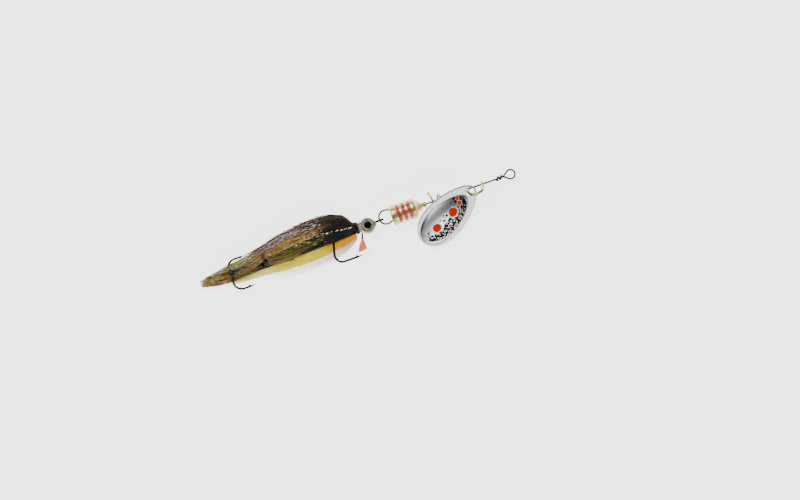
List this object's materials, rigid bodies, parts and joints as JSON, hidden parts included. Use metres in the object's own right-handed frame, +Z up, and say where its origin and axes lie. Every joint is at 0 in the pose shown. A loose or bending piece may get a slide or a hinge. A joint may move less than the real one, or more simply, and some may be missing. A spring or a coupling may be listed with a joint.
{
  "type": "inline spinner",
  "caption": "Fishing lure: a wire shaft with a line eye, a spinning oval blade on a clevis, a grooved weight body and a fibre streamer with a front hook and a rear treble.",
  "frame": {"origin": "centre of the line eye at the front end of the wire", "axes": "+X along the wire towards the line eye, +Y towards the back of the dressed fish, +Z up from the surface that the lure lies on"},
  "size_m": [0.1238, 0.0249, 0.0124],
  "materials": {
    "steel_wire": "bright drawn wire",
    "clevis_brass": "pale olive brass, polished",
    "brass": "turned brass",
    "pale_brass": "pale plated brass, satin",
    "blade_silver": "silver plate, satin rim and polished dome",
    "red_lacquer": "red lacquer",
    "hook_steel": "black nickel",
    "head_resin": "olive translucent resin",
    "iris_foil": "pale green foil",
    "pupil_black": "gloss",
    "clear_lens": "clear resin dome",
    "thread_black": "waxed thread",
    "trailer_coating": "coated wire",
    "sleeve_black": "shrink sleeve",
    "fibre_brown": "dark brown to amber crimped fibre",
    "fibre_yellow": "orange to yellow fibre",
    "fibre_white": "sheer white fibre",
    "fibre_olive": "olive and tan fibre",
    "tinsel": "gold flash",
    "fibre_red": "coral red yarn"
  },
  "bodies": {
    "shaft": {"shaft_wire": "steel_wire"},
    "stack": {"rear_bead": "brass"},
    "weight": {"weight_body": "pale_brass", "groove_bands": "red_lacquer"},
    "coil": {"tapered_coil": "clevis_brass"},
    "bearing": {"clevis_bearing": "brass"},
    "clevis": {"clevis": "clevis_brass"},
    "blade": {"blade": "blade_silver"},
    "streamer": {"front_hook": "hook_steel", "head": "head_resin", "iris_left": "iris_foil", "iris_right": "iris_foil", "pupil_left": "pupil_black", "pupil_right": "pupil_black", "eye_lens_left": "clear_lens", "eye_lens_right": "clear_lens", "thread_collar": "thread_black", "shank_lashing": "thread_black", "trailer_wire": "trailer_coating", "trailer_sleeve": "sleeve_black", "dressing_back": "fibre_brown", "dressing_belly": "fibre_yellow", "under_fringe": "fibre_white", "tinsel_left": "tinsel", "tinsel_right": "tinsel", "tuft_stem": "thread_black", "red_tuft": "fibre_red"},
    "treble": {"rear_treble": "hook_steel", "dressing_tail": "fibre_olive", "tail_belly": "fibre_yellow"}
  },
  "joints": [
    {"name": "stack_slide", "type": "slide", "parent": "shaft", "child": "stack", "axis": [1, 0, 0], "range_m": [0, 0.004]},
    {"name": "weight_spin", "type": "hinge", "parent": "stack", "child": "weight", "pos_m": [-0.04, 0, 0], "axis": [1, 0, 0], "continuous": true},
    {"name": "coil_spin", "type": "hinge", "parent": "stack", "child": "coil", "pos_m": [-0.028, 0, 0], "axis": [1, 0, 0], "continuous": true},
    {"name": "bearing_spin", "type": "hinge", "parent": "stack", "child": "bearing", "pos_m": [-0.0185, 0, 0], "axis": [1, 0, 0], "continuous": true},
    {"name": "clevis_spin", "type": "hinge", "parent": "stack", "child": "clevis", "pos_m": [-0.014, 0, 0], "axis": [1, 0, 0], "continuous": true},
    {"name": "blade_swing", "type": "hinge", "parent": "clevis", "child": "blade", "pos_m": [-0.014, -0.00102, 0.0013], "axis": [0, 0.788, 0.6157], "range_deg": [0, 75]},
    {"name": "streamer_swing", "type": "hinge", "parent": "shaft", "child": "streamer", "pos_m": [-0.0484, 0.00044, 0], "axis": [0, 0, 1], "range_deg": [-60, 60]},
    {"name": "treble_swing", "type": "hinge", "parent": "streamer", "child": "treble", "pos_m": [-0.09575, -0.00074, 0.0015], "axis": [0, 0, 1], "range_deg": [-35, 35]}
  ]
}
